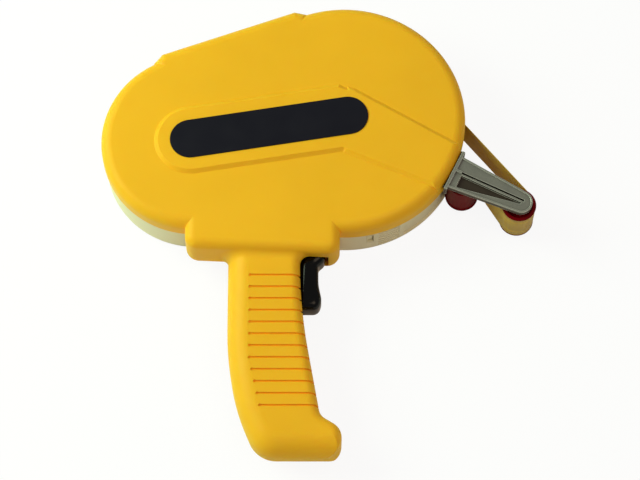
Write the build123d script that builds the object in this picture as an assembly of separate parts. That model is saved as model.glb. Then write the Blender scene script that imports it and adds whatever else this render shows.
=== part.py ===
from build123d import *
import math
import os

# An adhesive transfer tape dispenser, in millimetres. It lies on its side cover: X runs
# forward to the nose, Y from the grip up to the cover's hinge, Z out of the main face.
# The origin is where the supply roll's axis meets the outer face of the side cover.

# Case
parting_height = 21.5       # where the cover meets the main shell
shell_wall = 2.4
boss_height = 2.3           # room above the gears for the spindles' bosses
supply_lobe_radius = 60.2   # room for a full roll
takeup_lobe_radius = 46.6   # room for the wound liner
face_edge_radius = 5.5
plateau_rise = 1.5
plateau_taper = 52.0        # slope of the plateau's edge, in degrees off upright
hinge_ridge_rise = 3.4      # how far the hinge ridge stands out of the lobes' common tangent
hinge_ridge_start = -74.5   # along the ridge, from the foot of the origin
hinge_ridge_end = -4.0
hinge_ridge_run_out = 5.5   # length of the sloped ends of the ridge

# Side cover
cover_wall = 2.2
cover_inset = 0.8           # the cover lies this far inside the shell's outline
cover_edge_radius = 1.8
seam_gap = 0.3              # between the cover's rim and the shell
hinge_barrel_radius = 2.0
hinge_pin_radius = 1.0
knuckle_count = 7
knuckle_gap = 0.3

# Gears: supply, idler and take-up on one line of centres
gear_module = 1.25
supply_teeth = 48
idler_teeth = 24
takeup_teeth = 24
gear_thickness = 3.4
clutch_gap = 0.9            # from the tape's upper edge to the gears
pressure_angle = 20.0
tooth_share = 0.44          # tooth width over pitch, on the pitch circle
waist_tilt = 9.1            # the line of centres falls this much to the rear

# Tape
tape_width = 19.0
tape_floor = 5.5
web_thickness = 0.3
roll_clearance = 15.0       # from a full roll to the case's outline
core_bore_radius = 12.7
core_wall = 2.6
liner_hub_radius = 17.0
liner_build = 3.0
web_clearance = 0.12        # web to the rollers, the roll and the post

# Spindles and hubs
supply_spindle_radius = 4.0
takeup_spindle_radius = 3.0
idler_spindle_radius = 2.5
running_fit = 0.06
hub_wall = 2.0
flange_thickness = 0.8
washer_thickness = 0.6
slide_gap = 0.3             # between faces that turn past each other
washer_radius = 6.4
pin_head_thickness = 0.4

# Nose
nose_reach = 36.5           # of the nose roller's axis, out of the supply lobe
nose_bearing = -27.33
nose_roller_radius = 8.5
guide_reach = 6.55
guide_bearing = -28.06
guide_roller_radius = 8.2
roller_width = 21.0
roller_axle_radius = 2.0
roller_rim_height = 0.5     # width of the rim at each end of a roller
roller_rim_rise = 0.6
arm_thickness = 3.4
arm_base_width = 17.6
arm_tip_radius = 5.7
arm_lip = 0.8               # width of the raised lip round the arm
arm_lip_height = 0.5
arm_bearing = -26.2
arm_screw_spread = 6.5
channel_reach = 3.4         # where the arm's channel starts, out of the supply lobe
channel_bearing = -28.1
pocket_depth = 2.0
flange_plate_thickness = 1.4
flange_plate_length = 21.6
tongue_length = 12.0
tongue_thickness = 2.4
tongue_gap = 0.5            # from the rollers' ends up to the tongue
liner_post_depth = 7.55     # of the post's axis, inside the supply lobe
liner_post_bearing = -94.36
liner_post_radius = 2.6
post_flange_radius = 3.6

# Grip
grip_step = 4.9             # the grip's near face lies this much below the main face
grip_far = 5.2
grip_split = 17.0           # parting plane of the grip's two halves
grip_front_radius = 5.0     # rounding of the grip's front edges
grip_back_radius = 10.4     # rounding of its back and sole
grip_front_x = -21.8
grip_back_x = -57.2
grip_length = 111.6         # from the supply lobe down to the sole
grip_blend = 4.5            # concave radius where the grip meets the shoulder
block_far = 4.4
block_left = -78.2
block_right = -2.4
block_depth_left = 8.2      # how far the shoulder reaches below the supply lobe
block_depth_right = 11.6
block_corner_radius = 6.0
block_near_radius = 5.0
block_far_radius = 8.8
groove_count = 12
groove_pitch = 5.99
groove_first = 21.9         # depth of the first groove below the supply lobe
groove_height = 1.0
groove_depth = 0.9
groove_start_x = -46.0
groove_straight_count = 8   # grooves that start on one line; the others follow the back's curve
groove_lean = 1.3

# Trigger and brake
trigger_width = 14.0
trigger_gap = 0.5
trigger_pin_x = -14.2
trigger_pin_depth = 4.4     # below the supply lobe
trigger_pin_radius = 1.5
trigger_edge_radius = 2.2
trigger_hub_radius = 3.6
trigger_travel = 8.0        # degrees
horn_width = 3.2
horn_length = 8.4           # from the trigger's pin to the end of its horn
horn_lap = 2.4              # how far the horn's foot rises above the parting plane
trigger_back_x = -22.4
trigger_slot_length = 35.0  # below the trigger's pin
spring_seat_x = -33.0
spring_drop = 22.4          # of the spring's axis below the trigger's pin
spring_radius = 2.2
spring_wire = 0.6
spring_turns = 5
brake_pin_back = 10.8       # of the lever's pin from the trigger's pin
brake_pin_rise = 17.6
brake_pin_radius = 1.5
brake_hub_radius = 3.4
brake_arm_width = 3.0
brake_thickness = 2.6
pad_gap = 0.2
pad_thickness = 1.6
pad_bearing = -123.0

# Face plate, flush in the plateau
plate_radius = 10.0
plate_front_x = 1.7
plate_front_y = -0.6
plate_length = 78.8         # between the centres of its round ends
plate_thickness = 0.8
plate_gap = 0.1
plateau_half_width = 18.0

# Screws
screw_shank_radius = 1.3
screw_head_radius = 2.6
screw_head_height = 1.2
boss_radius = 3.2

# Latch of the cover
latch_angle = -77.5
latch_width = 2.6
latch_height = 7.6
latch_floor = 10.6
latch_sink = 1.2            # of the button below the cover's surface
latch_frame = 0.7           # width of the raised frame round the window
latch_frame_rise = 0.25
leaf_width = 5.0
leaf_length = 13.0
rib_count = 6
rib_pitch = 2.8
rib_floor = 3.2
rib_height = 1.5
rib_depth = 0.5
pad_start_angle = -73.5
pad_end_angle = -62.5
recess_start_angle = -60.0
recess_depth = 1.1
recess_floor = 2.6

# Opening of the case at the nose
mouth_start_angle = -34.0
mouth_end_angle = 8.0
mouth_floor = 3.6
mouth_top = 26.2


def polar(radius, degrees):
    """A point at this distance and bearing from the origin."""
    return (radius * math.cos(math.radians(degrees)), radius * math.sin(math.radians(degrees)))


def save(shape, name):
    """Write one sub-part."""
    export_step(shape, f"parts/{name}.step")


def disc(radius, bottom, top, x=0.0, y=0.0):
    """A cylinder standing between two heights."""
    return Pos(x, y, bottom) * extrude(Circle(radius), amount=top - bottom)


def ring(outer, inner, bottom, top, x=0.0, y=0.0):
    """A tube standing between two heights."""
    return Pos(x, y, bottom) * extrude(Circle(outer) - Circle(inner), amount=top - bottom)


def flat(*points):
    """A flat outline through these points, facing up whichever way they run."""
    area = sum(x1 * y2 - x2 * y1 for (x1, y1), (x2, y2) in zip(points, points[1:] + points[:1]))
    return Polygon(*(points if area > 0 else points[::-1]), align=None)


def slab(outline, bottom, top):
    """A flat outline raised between two heights."""
    return extrude(Pos(0, 0, bottom) * outline, amount=top - bottom)


def round_rim(solid, radius, end=-1):
    """Round the outer edges of the top (end -1) or bottom (end 0) face."""
    return fillet(solid.edges().group_by(Axis.Z)[end], radius)


def sector(start_angle, end_angle, inner, outer, bottom, top):
    """A block that spans an angle of the supply lobe."""
    middle = (start_angle + end_angle) / 2
    wedge = flat(
        polar(inner, start_angle),
        polar(outer, start_angle),
        polar(outer * 1.15, middle),
        polar(outer, end_angle),
        polar(inner, end_angle),
    )
    return slab(wedge, bottom, top)


centre_distance = gear_module * (supply_teeth / 2 + idler_teeth + takeup_teeth / 2)
idler_distance = gear_module * (supply_teeth + idler_teeth) / 2
rear_bearing = 180 + waist_tilt
takeup_x, takeup_y = polar(centre_distance, rear_bearing)
idler_x, idler_y = polar(idler_distance, rear_bearing)
tape_top = tape_floor + tape_width
gear_floor = tape_top + clutch_gap
gear_top = gear_floor + gear_thickness
hub_floor = tape_floor - flange_thickness
inner_face = gear_top + boss_height
case_height = inner_face + shell_wall
roll_radius = supply_lobe_radius - roll_clearance
roller_floor = tape_floor - (roller_width - tape_width) / 2
roller_top = roller_floor + roller_width
nose_roller_x, nose_roller_y = polar(supply_lobe_radius + nose_reach, nose_bearing)
guide_roller_x, guide_roller_y = polar(supply_lobe_radius + guide_reach, guide_bearing)
liner_post_x, liner_post_y = polar(supply_lobe_radius - liner_post_depth, liner_post_bearing)
tongue_floor = roller_top + tongue_gap
arm_floor = case_height - arm_thickness - 0.9
bracket_radius = supply_lobe_radius + 0.4
bracket_frame = Rot(0, 0, arm_bearing)
grip_near = case_height - grip_step
grip_middle = (grip_near + grip_far) / 2
grip_sole_y = -supply_lobe_radius - grip_length
grip_top_y = 2.2 - supply_lobe_radius
grip_screw_places = [
    (-70.0, -supply_lobe_radius - 2.8),
    (-48.0, -supply_lobe_radius - 16.3),
    (-30.0, -supply_lobe_radius - 100.3),
]
trigger_pin_y = -supply_lobe_radius - trigger_pin_depth
spring_y = trigger_pin_y - spring_drop
brake_pin_x = trigger_pin_x - brake_pin_back
brake_pin_y = trigger_pin_y + brake_pin_rise

# The hinge ridge follows the upper common tangent of the two lobes
ridge_slope = waist_tilt + math.degrees(math.asin((supply_lobe_radius - takeup_lobe_radius) / centre_distance))
ridge_frame = Rot(0, 0, ridge_slope)
hinge_offset = supply_lobe_radius + hinge_ridge_rise - hinge_barrel_radius


def lobes(inset):
    """The case's outline without ridge and grip: two lobes in one tight hull."""
    front = Circle(supply_lobe_radius - inset)
    rear = Pos(takeup_x, takeup_y) * Circle(takeup_lobe_radius - inset)
    return make_hull(front.edges() + rear.edges())


def ridge(inset):
    """Outline of the straight hinge ridge, with its sloped ends."""
    top = supply_lobe_radius + hinge_ridge_rise - inset
    foot = supply_lobe_radius - 8
    start = hinge_ridge_start + inset
    end = hinge_ridge_end - inset
    outline = flat(
        (start - hinge_ridge_run_out, foot),
        (start - hinge_ridge_run_out, supply_lobe_radius - inset),
        (start, top),
        (end, top),
        (end + hinge_ridge_run_out, supply_lobe_radius - inset),
        (end + hinge_ridge_run_out, foot),
    )
    return ridge_frame * outline


def rounded(corners, inset):
    """An outline from corners with a radius each, moved in by the inset."""
    outline = flat(*[(x, y) for x, y, radius in corners])
    for x, y, radius in corners:
        if radius:
            corner = outline.vertices().sort_by_distance((x, y, 0))[0]
            outline = fillet(corner, radius)
    return offset(outline, amount=-inset) if inset else outline


def block(inset):
    """Outline of the square shoulder that joins the grip to the case."""
    head = takeup_y - 8
    return rounded([
        (block_left, head, 0),
        (block_left, -supply_lobe_radius - block_depth_left, block_corner_radius),
        (block_right, -supply_lobe_radius - block_depth_right, block_corner_radius),
        (block_right, head, 0),
    ], inset)


def grip_front(inset):
    """Outline that shapes the grip's front: finger line, instep and hooked toe."""
    low = -supply_lobe_radius
    behind = grip_back_x - 13
    return rounded([
        (behind, grip_top_y, 0),
        (grip_front_x, grip_top_y, 0),
        (grip_front_x, low - 36.8, 260),
        (grip_front_x + 9.7, low - 91.6, 6),
        (grip_front_x + 20.0, low - 97.9, 8),
        (grip_front_x + 20.0, grip_sole_y, 8.4),
        (behind, grip_sole_y, 0),
    ], inset)


def grip_back(inset):
    """Outline that shapes the grip's bellied back, heel and sole."""
    low = -supply_lobe_radius
    ahead = grip_front_x + 42
    return rounded([
        (grip_back_x, grip_top_y, 0),
        (grip_back_x, low - 58.8, 150),
        (grip_back_x + 4.4, low - 86.8, 100),
        (grip_back_x + 14.9, grip_sole_y, 14),
        (ahead, grip_sole_y, 0),
        (ahead, grip_top_y, 0),
    ], inset)


def grip_body(inset):
    """The grip as a solid: tight edges in front, a full round at the back and sole."""
    body = None
    for outline, radius in ((grip_front(inset), grip_front_radius), (grip_back(inset), grip_back_radius)):
        form = slab(outline, grip_far + inset, grip_near - inset)
        for end in (-1, 0):
            rim = form.edges().group_by(Axis.Z)[end]
            rim = rim.filter_by(lambda edge: edge.center().Y < grip_top_y - inset - 1)
            rim = rim.filter_by(lambda edge: grip_back_x - 9 < edge.center().X < grip_front_x + 36)
            form = fillet(rim, radius - inset)
        body = form if body is None else body & form
    return body


def block_body(inset):
    """The shoulder as a solid, as high as the case and rounded all round."""
    body = slab(block(inset), block_far + inset, case_height - inset)
    body = round_rim(body, block_near_radius - inset)
    return round_rim(body, block_far_radius - inset, 0)


def handle_half(side):
    """The shoulder and grip on one side of the grip's parting, blended into each other."""
    anchor = Align.MIN if side > 0 else Align.MAX
    half = Pos(-40, -110, grip_split) * Box(200, 240, 60, align=(Align.CENTER, Align.CENTER, anchor))
    shoulder = block_body(0) & half
    handle = grip_body(0) & half
    joined = shoulder + handle
    seam = new_edges(shoulder, handle, combined=joined)
    seam = [edge for edge in seam if abs(edge.center().Z - grip_split) > 0.01 and edge.center().Y < grip_top_y - 3]
    return fillet(seam, grip_blend)


def grooves():
    """Thin cutters across the grip, each with a round start."""
    cutters = []
    for index in range(groove_count):
        y = -supply_lobe_radius - groove_first - index * groove_pitch
        start = groove_start_x + groove_lean * max(0, index + 1 - groove_straight_count)
        strip = Pos(start + 30, y) * Rectangle(60, groove_height)
        strip += Pos(start, y) * Circle(groove_height * 0.75)
        cutters.append(slab(strip, grip_split, grip_near + 2))
    return cutters


def boss(x, y, bottom, radius=boss_radius, bore=screw_shank_radius):
    """A hollow screw boss hanging from the shell's inner face."""
    return ring(radius, bore + running_fit, bottom, inner_face + 0.5, x, y)


def bracket_points():
    """Places of the bracket's screws in the tool's own frame."""
    angle = math.radians(arm_bearing)
    along = bracket_radius - 7.0
    return [
        (along * math.cos(angle) - across * math.sin(angle), along * math.sin(angle) + across * math.cos(angle))
        for across in (arm_screw_spread, -arm_screw_spread)
    ]


def hinge_knuckles(first):
    """Every second knuckle of the hinge, with its bore, along the ridge."""
    span = (hinge_ridge_end - hinge_ridge_start) / knuckle_count
    barrels = []
    for index in range(first, knuckle_count, 2):
        start = hinge_ridge_start + index * span + knuckle_gap / 2
        barrels.append((start, span - knuckle_gap))
    return barrels


def hinge_rod(radius, start, length):
    """A rod along the hinge axis."""
    rod = Rot(0, 90, 0) * extrude(Circle(radius), amount=length)
    return ridge_frame * Pos(start, hinge_offset, parting_height) * rod


def plateau(top_shape):
    """The raised strip that runs from behind the face plate to the nose."""
    tilt = Rot(0, 0, waist_tilt)
    front = Pos(plate_front_x, plate_front_y) * tilt
    half = plateau_half_width
    strip = front * flat((-plate_length, half), (-1.5, half), (3.0, half - 3.5), (0, -half),
                         (-plate_length, -half))
    strip += front * Pos(-plate_length, 0) * Circle(half)
    nose = flat((1.6, 15.9), (5.4, 14.6), (72.0, -24.2), (66.0, -47.6), (-0.3, -19.9), (-6.0, -10.0))
    outline = strip + nose
    raised = extrude(Pos(0, 0, case_height) * outline, amount=plateau_rise, taper=plateau_taper)
    return (slab(outline, case_height - 6, case_height) + raised) & top_shape


def face_plate_outline(gap):
    """The plate's outline: a bar with two round ends."""
    tilt = Rot(0, 0, waist_tilt)
    front = Pos(plate_front_x, plate_front_y) * tilt
    bar = SlotCenterToCenter(plate_length, 2 * (plate_radius - gap))
    return front * Pos(-plate_length / 2, 0) * bar


def shell_outside():
    """The main shell's outer form above the parting plane, with shoulder and grip half."""
    outline = lobes(0) + ridge(0)
    case = round_rim(slab(outline, parting_height, case_height), face_edge_radius)
    tall = slab(lobes(0), parting_height, case_height + plateau_rise)
    tall = round_rim(tall, face_edge_radius)
    body = case + plateau(tall)
    lower = handle_half(1)
    for cutter in grooves():
        lower -= cutter - grip_body(groove_depth)
    return body + lower


def trigger_slot():
    """The slot in the grip's front and the shoulder's floor for the trigger."""
    half = trigger_width / 2 + trigger_gap
    top = trigger_pin_y + trigger_hub_radius + 0.4
    low = trigger_pin_y - trigger_slot_length
    back = trigger_pin_x - 14.8
    front = trigger_pin_x + 6.2
    outline = flat((back, top), (back, low), (front, low), (front, top))
    return slab(outline, grip_middle - half, grip_middle + half)


def side_shell():
    """The main moulding: face, lobes' walls, hinge ridge, shoulder and near half of the grip."""
    body = shell_outside()
    inside = slab(lobes(shell_wall), parting_height - 1, inner_face)
    inside = round_rim(inside, face_edge_radius - shell_wall)
    grip_inside = (block_body(shell_wall) + grip_body(shell_wall))
    above = Pos(-40, -80, grip_split - 1) * Box(260, 240, 60, align=(Align.CENTER, Align.CENTER, Align.MIN))
    body -= inside
    body -= grip_inside & above
    body -= slab(lobes(cover_inset - seam_gap), grip_split - 1, parting_height)
    body += ring(8.0, supply_spindle_radius + running_fit, gear_top + slide_gap, inner_face + 0.5)
    body += ring(6.5, takeup_spindle_radius + running_fit, gear_top + slide_gap, inner_face + 0.5, takeup_x, takeup_y)
    body += ring(5.0, idler_spindle_radius + running_fit, gear_top + slide_gap, inner_face + 0.5, idler_x, idler_y)
    body += ring(post_flange_radius, screw_shank_radius + running_fit, tape_top + 0.4, inner_face + 0.5,
                 liner_post_x, liner_post_y)
    body += ring(brake_hub_radius, brake_pin_radius + running_fit, gear_floor + brake_thickness + 0.3,
                 inner_face + 0.5, brake_pin_x, brake_pin_y)
    for x, y in bracket_points():
        body += boss(x, y, tongue_floor + tongue_thickness)
    for x, y in grip_screw_places:
        top = (inner_face if y > grip_top_y - 10 else grip_near - shell_wall) + 0.5
        body += ring(boss_radius, screw_shank_radius + running_fit, grip_split, top, x, y)
    for start, length in hinge_knuckles(0):
        body += hinge_rod(hinge_barrel_radius, start, length)
    for start, length in hinge_knuckles(1):
        body -= hinge_rod(hinge_barrel_radius + knuckle_gap, start - knuckle_gap, length + 2 * knuckle_gap)
    body -= hinge_rod(hinge_pin_radius + running_fit, hinge_ridge_start - 12, 200)
    body -= sector(mouth_start_angle, mouth_end_angle, 50, 72, parting_height - 1, mouth_top)
    tongue_slot = Pos(bracket_radius - 4, 0, tongue_floor - 0.3) * Box(
        12, flange_plate_length + 1, tongue_thickness + 0.6, align=(Align.CENTER, Align.CENTER, Align.MIN))
    body -= bracket_frame * tongue_slot
    body -= trigger_slot()
    body -= slab(face_plate_outline(-plate_gap), case_height + plateau_rise - plate_thickness / 2, case_height + 9)
    body += spring_rib(grip_split, grip_near - shell_wall + 0.3)
    pin_top = grip_middle + trigger_width / 2 + trigger_gap
    body += ring(3.0, trigger_pin_radius + running_fit, pin_top, inner_face + 0.5, trigger_pin_x, trigger_pin_y)
    return body


def grip_back_half():
    """The far half of the grip and shoulder, closed below the cover's rim."""
    half = Pos(-40, -110, -20) * Box(200, 200, 20 + grip_split, align=(Align.CENTER, Align.CENTER, Align.MIN))
    body = handle_half(-1)
    hollow = block_body(shell_wall) + grip_body(shell_wall)
    clear = slab(lobes(cover_inset - 0.7), -1, grip_split + 1)
    lid = slab(lobes(cover_inset - 0.7 - shell_wall), -1, grip_split + 1)
    body -= clear
    body -= (hollow - lid) & half
    for x, y in grip_screw_places:
        body += ring(boss_radius, screw_shank_radius + running_fit, grip_far + 1.5, grip_split, x, y) - clear
    body -= trigger_slot()
    body -= disc(trigger_pin_radius + running_fit, block_far + 0.8, grip_split + 1, trigger_pin_x, trigger_pin_y)
    body += spring_rib(grip_far + shell_wall - 0.3, grip_split)
    for x, y in grip_screw_places:
        body -= disc(screw_shank_radius + running_fit, -1, grip_split + 1, x, y)
        body -= disc(screw_head_radius + 0.2, -1, screw_seat(x, y), x, y)
    return body


def screw_seat(x, y):
    """Height of the shoulder that a grip screw's head bears on."""
    return (block_far if y > grip_top_y - 10 else grip_far) + screw_head_height + 0.6


def arm_outline():
    """The nose arm seen from the face: wide at the flange, round at the tip."""
    root = bracket_frame * Pos(bracket_radius + 0.6, -2.6) * Rectangle(1.0, arm_base_width)
    tip = Pos(nose_roller_x + 0.4, nose_roller_y - 1.0) * Circle(arm_tip_radius)
    return make_hull(root.edges() + tip.edges())


def nose_bracket():
    """The cast arm: a lipped plate with a slot and a tapering pocket, a flange and a tongue."""
    top = arm_floor + arm_thickness
    arm = slab(arm_outline(), arm_floor, top)
    arm -= slab(offset(arm_outline(), amount=-arm_lip), top - arm_lip_height, top + 1)
    channel_x, channel_y = polar(supply_lobe_radius + channel_reach, channel_bearing)
    length = math.hypot(nose_roller_x - channel_x, nose_roller_y - channel_y)
    angle = math.degrees(math.atan2(nose_roller_y - channel_y, nose_roller_x - channel_x))
    channel_frame = Pos(channel_x, channel_y, 0) * Rot(0, 0, angle)
    pocket = channel_frame * flat((1.8, -0.9), (length + 1, -1.0), (length + 1, -1.9), (1.8, -7.6))
    arm -= slab(pocket, top - pocket_depth, top + 1)
    groove = channel_frame * Pos(length / 2 + 1.5, 0.4) * Rectangle(length + 1, 1.1)
    arm -= slab(groove, top - arm_thickness + 0.7, top + 1)
    arm += disc(roller_axle_radius + 1.6, roller_top + tongue_gap, arm_floor + 0.1, nose_roller_x, nose_roller_y)
    arm += disc(roller_axle_radius + 1.6, roller_top + tongue_gap, arm_floor + 0.1, guide_roller_x, guide_roller_y)
    height = top - tongue_floor
    plate = Pos(bracket_radius, -2.0, tongue_floor) * Box(
        flange_plate_thickness, flange_plate_length, height + 0.3, align=(Align.MIN, Align.CENTER, Align.MIN))
    tab = Pos(bracket_radius, -1.6, arm_floor) * Box(
        4.5, 1.2, arm_thickness + 0.3, align=(Align.MIN, Align.CENTER, Align.MIN))
    tongue = Pos(bracket_radius - tongue_length, 0, tongue_floor) * Box(
        tongue_length + 1, flange_plate_length - 1, tongue_thickness, align=(Align.MIN, Align.CENTER, Align.MIN))
    body = arm + bracket_frame * (plate + tab + tongue)
    for x, y in bracket_points():
        body -= disc(screw_shank_radius + running_fit, tongue_floor - 1, tongue_floor + tongue_thickness + 1, x, y)
    for x, y in ((nose_roller_x, nose_roller_y), (guide_roller_x, guide_roller_y)):
        body -= disc(roller_axle_radius, tongue_floor - 1, tongue_floor + 3.0, x, y)
    return body


def roller_axle(x, y):
    """A pin staked into the arm, with a neck for its clip."""
    pin = disc(roller_axle_radius, roller_floor - 1.2, tongue_floor + 3.0, x, y)
    return pin - ring(roller_axle_radius + 1, roller_axle_radius - 0.4, roller_floor - 0.8, roller_floor - 0.2, x, y)


def axle_clip(x, y):
    """The open clip that sits in the neck of a roller's pin."""
    clip = ring(roller_axle_radius + 1.4, roller_axle_radius - 0.36, roller_floor - 0.78, roller_floor - 0.22, x, y)
    mouth = Pos(x, y - 3, 0) * Box(2.2, 6, 20)
    return clip - mouth


def roller(radius, x, y):
    """A roller with a shallow rim at each end and a bore for its pin."""
    profile = Polyline(
        (roller_axle_radius + running_fit, 0),
        (radius - 0.3, 0),
        (radius, 0.3),
        (radius, roller_rim_height),
        (radius - roller_rim_rise, roller_rim_height + 0.3),
        (radius - roller_rim_rise, roller_width - roller_rim_height - 0.3),
        (radius, roller_width - roller_rim_height),
        (radius, roller_width - 0.3),
        (radius - 0.3, roller_width),
        (roller_axle_radius + running_fit, roller_width),
        close=True,
    )
    return Pos(x, y, roller_floor) * revolve(Plane.XZ * make_face(profile), Axis.Z)


def web_sides():
    """Tangent points of the tape's path, as (kind, data) spans from the roll to the liner hub."""
    band = web_thickness / 2 + web_clearance
    wheels = [
        (0.0, 0.0, roll_radius + band, -1),
        (nose_roller_x, nose_roller_y, nose_roller_radius - roller_rim_rise + band, -1),
        (guide_roller_x, guide_roller_y, guide_roller_radius - roller_rim_rise + band, 1),
        (liner_post_x, liner_post_y, liner_post_radius + band, -1),
        (takeup_x, takeup_y, liner_hub_radius + liner_build + band, -1),
    ]
    tangents = []
    for (x1, y1, r1, s1), (x2, y2, r2, s2) in zip(wheels, wheels[1:]):
        reach = math.hypot(x2 - x1, y2 - y1)
        bearing = math.atan2(y2 - y1, x2 - x1)
        run = bearing + math.asin((s1 * r1 - s2 * r2) / reach)
        side = (math.sin(run), -math.cos(run))
        tangents.append((
            (x1 + s1 * r1 * side[0], y1 + s1 * r1 * side[1]),
            (x2 + s2 * r2 * side[0], y2 + s2 * r2 * side[1]),
        ))
    return wheels, tangents


def web_edge(offset):
    """One long side of the web: straight spans joined by arcs round the wheels."""
    wheels, tangents = web_sides()
    spans = []
    last = None
    for index, (start, end) in enumerate(tangents):
        run = math.atan2(end[1] - start[1], end[0] - start[0])
        shift = (-math.sin(run) * offset, math.cos(run) * offset)
        a = (start[0] + shift[0], start[1] + shift[1])
        b = (end[0] + shift[0], end[1] + shift[1])
        if last is not None:
            x, y, radius, sense = wheels[index]
            first = math.atan2(last[1] - y, last[0] - x)
            final = math.atan2(a[1] - y, a[0] - x)
            turn = (final - first) % (2 * math.pi)
            if sense < 0:
                turn -= 2 * math.pi
            middle = first + turn / 2
            ring_radius = radius - sense * offset
            spans.append(ThreePointArc(last, (x + ring_radius * math.cos(middle),
                                              y + ring_radius * math.sin(middle)), a))
        spans.append(Line(a, b))
        last = b
    return spans


def tape_web():
    """The tape on its way from the roll over the nose and back, as liner, to the take-up hub."""
    left = web_edge(web_thickness / 2)
    right = web_edge(-web_thickness / 2)
    start_cap = Line(left[0] @ 0, right[0] @ 0)
    end_cap = Line(left[-1] @ 1, right[-1] @ 1)
    outline = make_face(Wire([*left, *right, start_cap, end_cap]))
    return slab(outline, tape_floor, tape_top)


def involute_point(base_radius, radius, half_angle, side):
    """A point of a tooth's flank at a radius, mirrored for the other flank."""
    roll = math.sqrt(max((radius / base_radius) ** 2 - 1, 0))
    swing = roll - math.atan(roll)
    return radius, side * (half_angle - swing)


def gear_outline(teeth, phase):
    """A spur gear with involute flanks and one tooth centred on the phase angle."""
    pitch_radius = gear_module * teeth / 2
    tip = pitch_radius + gear_module * 0.9
    root = pitch_radius - gear_module * 1.2
    base = pitch_radius * math.cos(math.radians(pressure_angle))
    roll = math.tan(math.radians(pressure_angle))
    half_at_base = math.pi * tooth_share / teeth + roll - math.atan(roll)
    radii = (max(base, root), (base + tip) / 2, tip)
    points = []
    for tooth in range(teeth):
        centre = math.radians(phase) + tooth * 2 * math.pi / teeth
        flank = [involute_point(base, radius, half_at_base, -1) for radius in radii]
        flank += [involute_point(base, radius, half_at_base, 1) for radius in reversed(radii)]
        if root < base:
            flank = [(root, flank[0][1])] + flank + [(root, flank[-1][1])]
        for radius, angle in flank:
            points.append((radius * math.cos(centre + angle), radius * math.sin(centre + angle)))
    return make_face(Polyline(*points, close=True))


def supply_gear():
    """The supply gear with its hub, which carries the roll's core."""
    gear = slab(gear_outline(supply_teeth, rear_bearing), gear_floor, gear_top)
    hub_radius = core_bore_radius - 0.1
    gear += disc(hub_radius, hub_floor, gear_floor + 0.5)
    gear += disc(hub_radius + 6, gear_floor - flange_thickness + 0.1, gear_floor + 0.5)
    gear -= disc(hub_radius - hub_wall, tape_floor - 1, gear_floor - 1)
    gear += disc(supply_spindle_radius + hub_wall, hub_floor, gear_floor)
    for index in range(3):
        spoke = Pos(0, 0, tape_floor) * Rot(0, 0, 30 + 120 * index) * Box(
            hub_radius - 1, 1.6, tape_width - 3, align=(Align.MIN, Align.CENTER, Align.MIN))
        gear += spoke
        window = Rot(0, 0, 90 + 120 * index) * Pos(22.6, 0, 0) * Cylinder(3.6, 80)
        gear -= window
    return gear - disc(supply_spindle_radius + running_fit, -1, case_height)


def tape_core():
    """The roll's paper core."""
    return ring(core_bore_radius + core_wall, core_bore_radius, tape_floor, tape_top - 0.2)


def tape_roll():
    """The wound tape."""
    return ring(roll_radius, core_bore_radius + core_wall, tape_floor, tape_top - 0.2)


def hub_washer(x=0.0, y=0.0):
    """The washer that a spindle's screw clamps below a hub."""
    top = hub_floor - slide_gap
    return ring(washer_radius, screw_shank_radius + running_fit, top - washer_thickness, top, x, y)


def hub_screw(x=0.0, y=0.0):
    """The screw in a spindle's end."""
    return screw(x, y, hub_floor - slide_gap - washer_thickness, 8.0)


def spindle(radius, x=0.0, y=0.0):
    """A post pressed into the shell's boss, drilled below for its screw."""
    bottom = hub_floor - slide_gap
    post = disc(radius, bottom, inner_face - 0.2, x, y)
    return post - disc(screw_shank_radius + running_fit, bottom - 1, bottom + 9, x, y)


def idler_spindle():
    """The idler's post, with a low head under the gear."""
    post = disc(idler_spindle_radius, gear_floor - slide_gap, inner_face - 0.2, idler_x, idler_y)
    head_top = gear_floor - slide_gap
    return post + disc(idler_spindle_radius + 1.1, head_top - pin_head_thickness, head_top, idler_x, idler_y)


def screw(x, y, seat, length, up=1):
    """A pan-head screw with a cross slot: its shank runs up from the seat."""
    head = disc(screw_head_radius, seat - screw_head_height, seat, x, y)
    head = fillet(head.edges().group_by(Axis.Z)[0], 0.5)
    slot = Pos(x, y, seat - screw_head_height) * (Box(3.0, 0.7, 1.2) + Box(0.7, 3.0, 1.2))
    shank = disc(screw_shank_radius, seat - 0.2, seat + length, x, y)
    return head - slot + shank


def takeup_gear():
    """The small gear with the driving face of the slip clutch."""
    phase = rear_bearing + 180 + (idler_teeth % 2) * 180 / takeup_teeth
    gear = Pos(takeup_x, takeup_y) * slab(gear_outline(takeup_teeth, phase), gear_floor, gear_top)
    return gear - disc(takeup_spindle_radius + running_fit, -1, case_height, takeup_x, takeup_y)


def idler_gear():
    """The idler between the two hubs."""
    phase = rear_bearing + 180 + 180 / idler_teeth
    gear = Pos(idler_x, idler_y) * slab(gear_outline(idler_teeth, phase), gear_floor, gear_top)
    for index in range(4):
        gear -= Pos(idler_x, idler_y) * Rot(0, 0, 45 + 90 * index) * Pos(8.6, 0, 0) * Cylinder(2.4, 80)
    return gear - disc(idler_spindle_radius + running_fit, -1, case_height, idler_x, idler_y)


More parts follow.
